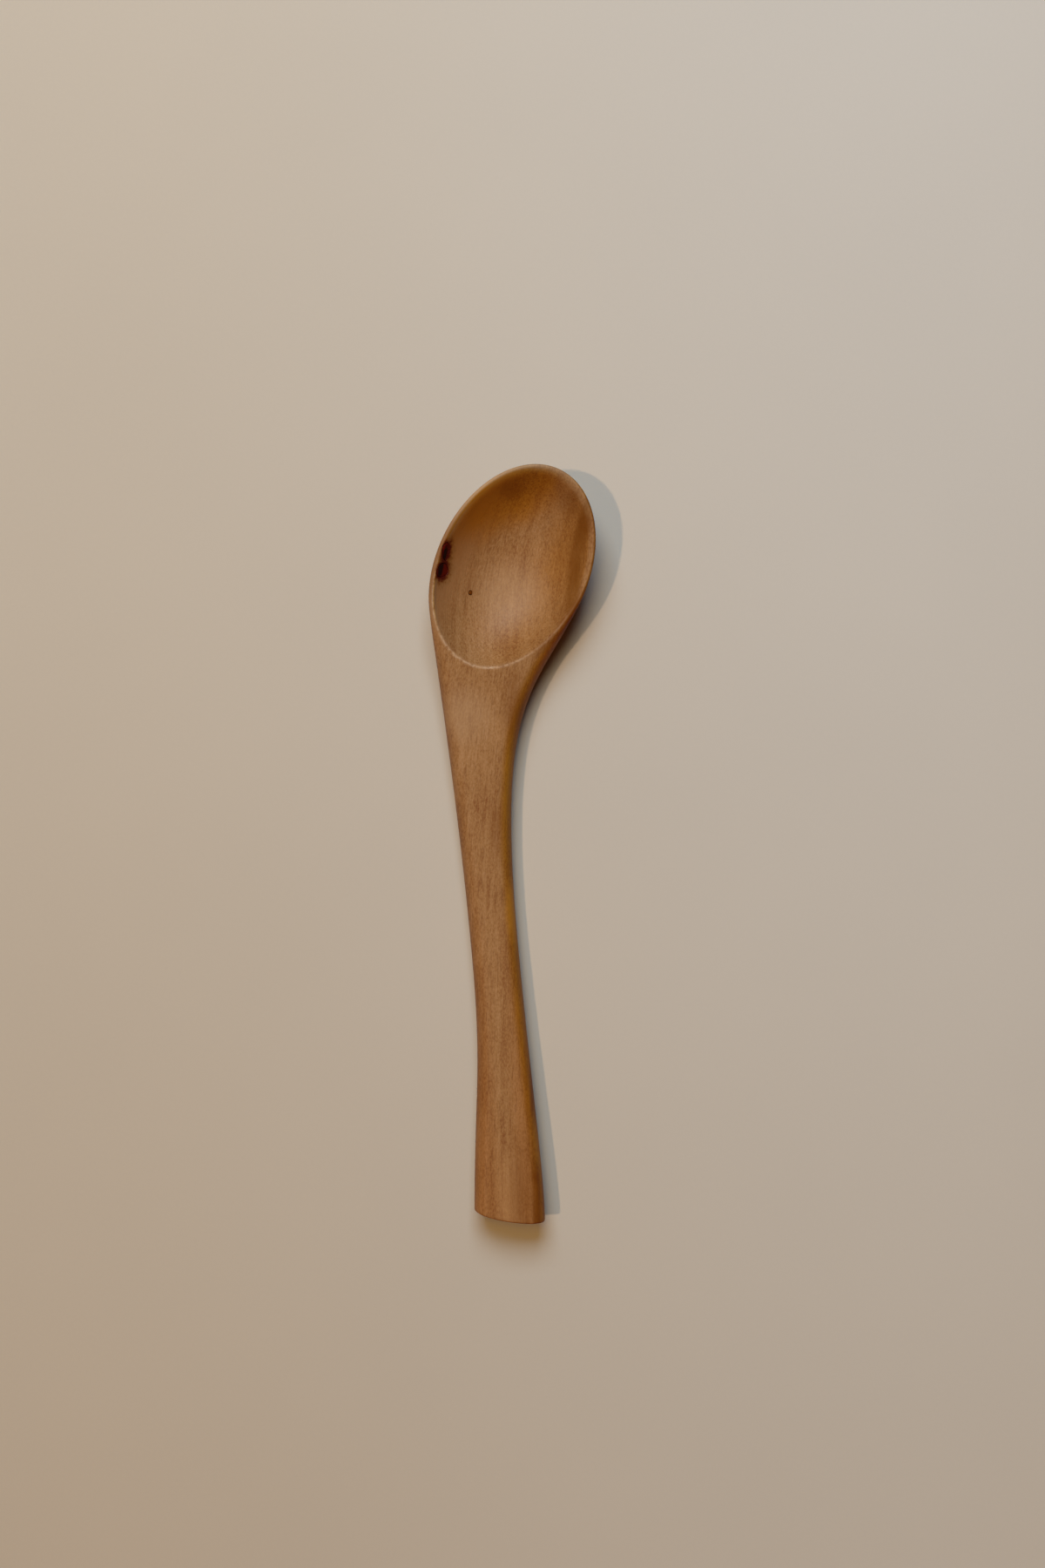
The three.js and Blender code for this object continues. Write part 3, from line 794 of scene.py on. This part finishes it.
def bowlLightAndShade(tree, place, colour, ragged):  # painted sheen on the rim and hollow floor, a painted highlight on the arris, painted light on the left wall, painted shade on the right and tip walls
    look = oiledWood
    across, along, share = bowlPlace(tree, place)
    rough = calc(tree, "MULTIPLY_ADD", ragged, tintPlaces["raggedWall"], across)
    # Painted light: the left wall of the hollow is painted paler
    left = product(tree, fade(tree, rough, *tintPlaces["leftWallLight"]), fade(tree, share, *tintPlaces["leftEdge"]))
    colour = tint(tree, left, colour, srgb(look["leftWallLight"]))
    # Painted shade: the right wall of the hollow is painted darker, less so near the heel
    leftward = fade(tree, rough, *tintPlaces["rightWallShade"])
    right = calc(tree, "SUBTRACT", fade(tree, share, *tintPlaces["rightEdge"]), leftward, clamp=True)
    atHeel = fade(tree, along, *tintPlaces["rightHeel"])
    right = product(tree, right, calc(tree, "MULTIPLY_ADD", atHeel, -tintPlaces["rightHeelCut"], 1.0))
    colour = tint(tree, right, colour, look["rightWallShade"], "MULTIPLY")
    # Dark patches, mostly painted shade, and pale patches of painted sheen
    colour = patches(tree, place, colour, ragged, (("darkPatches", "darkPatch"), ("sheenPatches", "sheen")))
    rim = product(tree, opposite(tree, fade(tree, share, *tintPlaces["rimInside"])),
                  fade(tree, share, *tintPlaces["rimOutside"]))
    # Painted sheen: the rim is painted paler, most on its left side and least at the heel
    rimSheen = product(tree, rim, fade(tree, across, *tintPlaces["rimRight"]), tintPlaces["rimSheenStrength"],
                    opposite(tree, fade(tree, along, *tintPlaces["rimHeel"])))
    colour = tint(tree, rimSheen, colour, srgb(look["rim"]))
    # Darker patches on the rim, the right ones painted shade where it turns down by the heel
    for spot in look["rimDarkPatches"]:
        rimDarkened = product(tree, rim, patch(tree, place, spot, ragged))
        colour = tint(tree, rimDarkened, colour, srgb(look["darkPatch"]))
    # Painted highlight: a pale line along the arris, fainter on the right and broken up
    fromArris = calc(tree, "ABSOLUTE", calc(tree, "SUBTRACT", share, tintPlaces["arrisAt"]))
    least = tintPlaces["arrisRightLeast"]
    fainter = calc(tree, "MULTIPLY_ADD", fade(tree, across, *tintPlaces["arrisRight"]), 1 - least, least)
    broken = calc(tree, "MULTIPLY_ADD", ragged, tintPlaces["arrisBreaks"], tintPlaces["arrisStrength"], clamp=True)
    line = product(tree, fade(tree, fromArris, 0.0, tintPlaces["arrisWidth"]),
                   fade(tree, along, *tintPlaces["arrisTip"]), fainter, broken)
    return tint(tree, line, colour, srgb(look["arris"]))


def gripShadeSheenAndStreaks(tree, place, colour, ragged):  # the lower handle: painted shade on its sides, a painted sheen along the middle, and streaks
    look = oiledWood
    x, y = addNode(tree, "SeparateXYZ", {0: place}).outputs[:2]
    middle = calc(tree, "MULTIPLY_ADD", y, *tintPlaces["gripMiddle"])
    aside = calc(tree, "ABSOLUTE", calc(tree, "ADD", x, middle))
    aside = calc(tree, "MULTIPLY_ADD", ragged, tintPlaces["raggedCentre"], aside)
    centre = fade(tree, aside, *tintPlaces["gripCentre"])
    # Painted shade: the handle's sides are painted warmer and darker
    sides = product(tree, fade(tree, y, *tintPlaces["gripSides"]), opposite(tree, centre))
    colour = tint(tree, sides, colour, look["gripSideShade"], "MULTIPLY")
    # Painted sheen: the middle of the handle near the butt is painted paler
    sheen = product(tree, centre, fade(tree, y, *tintPlaces["gripPale"]), tintPlaces["gripPaleStrength"])
    colour = tint(tree, sheen, colour, srgb(look["paleGrip"]))
    streaks = (("darkStreaks", "darkPatch"), ("paleStreaks", "paleGrip"))
    return patches(tree, place, colour, ragged, streaks, look["streakSqueeze"])


def stainKnots(tree, place, colour, ragged, onWall):  # rings round the two dead knots and the pin knot
    look = oiledWood
    for kind, reach, start, strength in look["knotRings"]:
        for name in ("sideKnotUpper", "sideKnotLower"):
            around = calc(tree, "ADD", knotDistance(tree, place, knots[name], reach), ragged)
            share = product(tree, fade(tree, around, start, look["knotFadeEnd"]), strength, onWall)
            colour = tint(tree, share, colour, srgb(look["knot" + kind]))
    ring = fade(tree, knotDistance(tree, place, knots["pinKnot"], look["pinRing"]), *look["pinRingFade"])
    return tint(tree, product(tree, ring, look["pinRingStrength"]), colour, srgb(look["pore"]))


def bumpy(tree, shader, height, strength, distance):
    bump = addNode(tree, "Bump", {"Height": height, "Strength": strength, "Distance": distance * mm})
    tree.links.new(bump.outputs[0], shader.inputs["Normal"])


def makeOiledWood():
    look = oiledWood
    material, tree, shader = newMaterial("oiledWood", look["roughness"], look["specular"])
    place = placeInMm(tree)
    grain, across = grainPlace(tree, place)
    layers = pattern(tree, grain, "layers", 2.0, 0.55)
    fibres = pattern(tree, grain, "fibres", 4.0, 0.65)
    drift = pattern(tree, place, "drift", 3.0)
    flecks = pattern(tree, grain, "flecks", 3.0, 0.6)
    pores = fade(tree, pattern(tree, grain, "pores", 1.0, 0.4, 0.3), *look["poreFade"])
    tone = calc(tree, "ADD", swing(tree, layers, look["layerSwing"]), 0.5)
    tone = calc(tree, "ADD", tone, swing(tree, fibres, look["fibreSwing"]))
    tone = calc(tree, "ADD", tone, swing(tree, flecks, look["fleckSwing"]))
    tone = calc(tree, "ADD", tone, swing(tree, drift, look["driftSwing"]), clamp=True)
    colour = ramp(tree, tone, [(0.15, look["dark"]), (0.85, look["light"]), (0.5, look["middle"])])
    colour = tint(tree, product(tree, pores, look["poreStrength"]), colour, srgb(look["pore"]))

    fromStripe = calc(tree, "ABSOLUTE", calc(tree, "SUBTRACT", across, look["stripeAt"]))
    stripe = fade(tree, fromStripe, look["stripeWidth"] * look["stripeCore"], look["stripeWidth"])
    broken = swing(tree, pattern(tree, grain, "breaks"), look["stripeBreaks"])
    broken = calc(tree, "ADD", broken, look["stripeWhole"], clamp=True)
    colour = tint(tree, product(tree, stripe, broken, look["stripeStrength"]), colour, srgb(look["stripe"]))

    # Painted light and shade, and stains round the knots: the bowl's show only on faces that look up
    ragged = swing(tree, noise(tree, place, look["ragged"], 3.0, 0.6), look["raggedSwing"])
    normal = addNode(tree, "TexCoord").outputs["Normal"]
    upward = addNode(tree, "SeparateXYZ", {0: normal}).outputs[2]
    facesUp = opposite(tree, fade(tree, upward, *tintPlaces["facesDown"]))
    colour = gripShadeSheenAndStreaks(tree, place, colour, ragged)
    colour = tint(tree, facesUp, colour, bowlLightAndShade(tree, place, colour, ragged))
    fromMiddle = bowlPlace(tree, place)[2]
    inHollow = product(tree, facesUp, fade(tree, fromMiddle, *tintPlaces["hollowEdge"]))
    onWall = product(tree, facesUp, fade(tree, fromMiddle, *tintPlaces["stainEdge"]))
    colour = stainKnots(tree, place, colour, ragged, onWall)

    # Painted shade: the wood is painted deeper in colour on the sides that face these ways, away from the
    # lamps
    patchy = swing(tree, drift, look["paintedShadeSwing"])
    for kind, shift in (("bowl", patchy), ("grip", calc(tree, "SUBTRACT", patchy, inHollow))):
        facing = addNode(tree, "VectorMath", {0: normal, 1: look[kind + "PaintedShadeWay"]}, operation="DOT_PRODUCT")
        facing = calc(tree, "ADD", facing.outputs["Value"], shift)
        shadedSide = opposite(tree, fade(tree, facing, *look[kind + "PaintedShadeFade"]))
        colour = tint(tree, shadedSide, colour, look[kind + "PaintedShade"], "MULTIPLY")
    tree.links.new(colour, shader.inputs["Base Color"])
    rough = calc(tree, "ADD", swing(tree, fibres, look["roughnessSwing"]), look["roughness"])
    tree.links.new(rough, shader.inputs["Roughness"])
    height = calc(tree, "SUBTRACT", fibres, product(tree, pores, look["poreDepth"]))
    bumpy(tree, shader, height, look["bump"], look["bumpHeight"])
    return material


# Knot wood: nearly black red-brown in the dead knots, brown in the pin knot, with rings of its own
knotWood = {
    "deadCore": "#160101", "deadEdge": "#580b02", "pinCore": "#5a2600", "pinEdge": "#844708",
    "roughness": 0.5, "specular": 0.08, "rings": 2.6, "ringSwing": 0.3, "grit": 1.6, "gritSwing": 0.8,
    "bump": 0.5, "bumpHeight": 0.08,
}


def makeKnotWood(name, core, rim, knot):
    look = knotWood
    material, tree, shader = newMaterial(name, look["roughness"], look["specular"])
    place = placeInMm(tree)
    away = ovalDistance(tree, place, knot, knot["core"], 0.0)
    grit = noise(tree, place, look["grit"], 3.0, 0.6)
    rings = noise(tree, addNode(tree, "CombineXYZ", {0: away}).outputs[0], look["rings"], 2.0)
    share = calc(tree, "ADD", calc(tree, "SUBTRACT", away, 0.5), swing(tree, rings, look["ringSwing"]))
    share = calc(tree, "ADD", share, swing(tree, grit, look["gritSwing"]), clamp=True)
    colour = ramp(tree, share, [(0.2, look[core]), (0.8, look[rim])])
    tree.links.new(colour, shader.inputs["Base Color"])
    bumpy(tree, shader, grit, look["bump"], look["bumpHeight"])
    return material


spoon.data.materials.append(makeOiledWood())
for name, piece in knotPieces.items():
    dead = knots[name]["slot"] == "dead_knot"
    core, rim = ("deadCore", "deadEdge") if dead else ("pinCore", "pinEdge")
    piece.data.materials.append(makeKnotWood(name + "Wood", core, rim, knots[name]))
print("materials made")

# Table top, light and camera
studio = {
    # The two floor colours paint a light gradient: darker and warmer on the left, paler and cooler on the
    # right
    "floorLeft": "#b8a692", "floorRight": "#bbafa2", "floorSides": (-130.0, 130.0), "floorReach": 1500.0,
    "floorRoughness": 0.75, "floorSpecular": 0.05,
    "cloud": 0.012, "cloudSwing": 0.05, "grit": 1.1, "gritSwing": 0.03,
    "sky": "#b9b3aa", "airStrength": 0.06, "airColour": (1.0, 0.35, 0.12),
    "keyStrength": 1.03, "keyColour": (1.0, 0.75, 0.51), "keyAngle": 2.0, "keyWay": (0.51, 0.06, -1.0),
    "fillStrength": 0.54, "fillColour": (1.0, 0.66, 0.02), "fillAngle": 18.0,
    "fillWay": (0.11, -0.27, -1.0),
    "windowPower": 11.5, "windowColour": (0.56, 0.77, 1.0), "windowSize": (600.0, 480.0),
    "windowAt": (-90.0, 604.0, 788.0),
    "lens": 50.0, "frameHeight": 380.2, "cameraAt": (2.46, 14.66),
}


def makeFloor():
    reach = studio["floorReach"] * mm
    mesh = bpy.data.meshes.new("tableTop")
    corners = [(-reach, -reach, 0), (reach, -reach, 0), (reach, reach, 0), (-reach, reach, 0)]
    mesh.from_pydata(corners, [], [(0, 1, 2, 3)])
    floor = bpy.data.objects.new("tableTop", mesh)
    scene.collection.objects.link(floor)
    material, tree, shader = newMaterial("tableTop", studio["floorRoughness"], studio["floorSpecular"])
    place = placeInMm(tree)
    cloud, grit = (noise(tree, place, studio[kind], 3.0, 0.6) for kind in ("cloud", "grit"))
    cloud, grit = swing(tree, cloud, studio["cloudSwing"]), swing(tree, grit, studio["gritSwing"])
    tone = calc(tree, "ADD", cloud, grit)
    # Painted light: the floor is painted darker and warmer to the left, paler and cooler to the right
    side = fade(tree, addNode(tree, "SeparateXYZ", {0: place}).outputs[0], *studio["floorSides"])
    plain = tint(tree, side, srgb(studio["floorRight"]), srgb(studio["floorLeft"]))
    colour = addNode(tree, "HueSaturation", {"Color": plain, "Value": calc(tree, "ADD", tone, 1.0)})
    tree.links.new(colour.outputs[0], shader.inputs["Base Color"])
    mesh.materials.append(material)


def aimed(kind, name, way):
    lamp = bpy.data.objects.new(name, bpy.data.lights.new(name, kind))
    lamp.rotation_mode = "QUATERNION"
    lamp.rotation_quaternion = Vector(way).to_track_quat("-Z", "Y")
    scene.collection.objects.link(lamp)
    return lamp


def makeLight():
    for name in ("key", "fill"):
        lamp = aimed("SUN", name + "Lamp", studio[name + "Way"])
        lamp.data.energy = studio[name + "Strength"]
        lamp.data.color = studio[name + "Colour"]
        lamp.data.angle = math.radians(studio[name + "Angle"])
    windowAt = Vector(studio["windowAt"])
    window = aimed("AREA", "windowLight", -windowAt)
    window.location = windowAt * mm
    window.data.energy = studio["windowPower"]
    window.data.color = studio["windowColour"]
    window.data.shape = "RECTANGLE"
    window.data.size, window.data.size_y = (size * mm for size in studio["windowSize"])
    window.visible_camera = False
    world = bpy.data.worlds.new("studioAir")
    scene.world = world
    world.use_nodes = True
    tree = world.node_tree
    air = tree.nodes["Background"]
    air.inputs["Color"].default_value = studio["airColour"] + (1.0,)
    air.inputs["Strength"].default_value = studio["airStrength"]
    backdrop = addNode(tree, "Background", {"Color": srgb(studio["sky"]), "Strength": 1.0})
    path = addNode(tree, "LightPath")
    seen = calc(tree, "ADD", path.outputs["Is Camera Ray"], path.outputs["Is Transmission Ray"])
    seen = calc(tree, "ADD", seen, path.outputs["Is Glossy Ray"], clamp=True)
    both = addNode(tree, "MixShader", {0: seen, 1: air.outputs[0], 2: backdrop.outputs[0]})
    tree.links.new(both.outputs[0], tree.nodes["World Output"].inputs["Surface"])


def makeCamera():
    camera = bpy.data.objects.new("camera", bpy.data.cameras.new("camera"))
    camera.data.lens = studio["lens"]
    height = studio["lens"] / camera.data.sensor_width * studio["frameHeight"]
    camera.location = Vector((*studio["cameraAt"], height)) * mm
    scene.collection.objects.link(camera)
    scene.camera = camera


makeFloor()
makeLight()
makeCamera()
scene.view_settings.view_transform = "Standard"
print("size kept, scene ready")
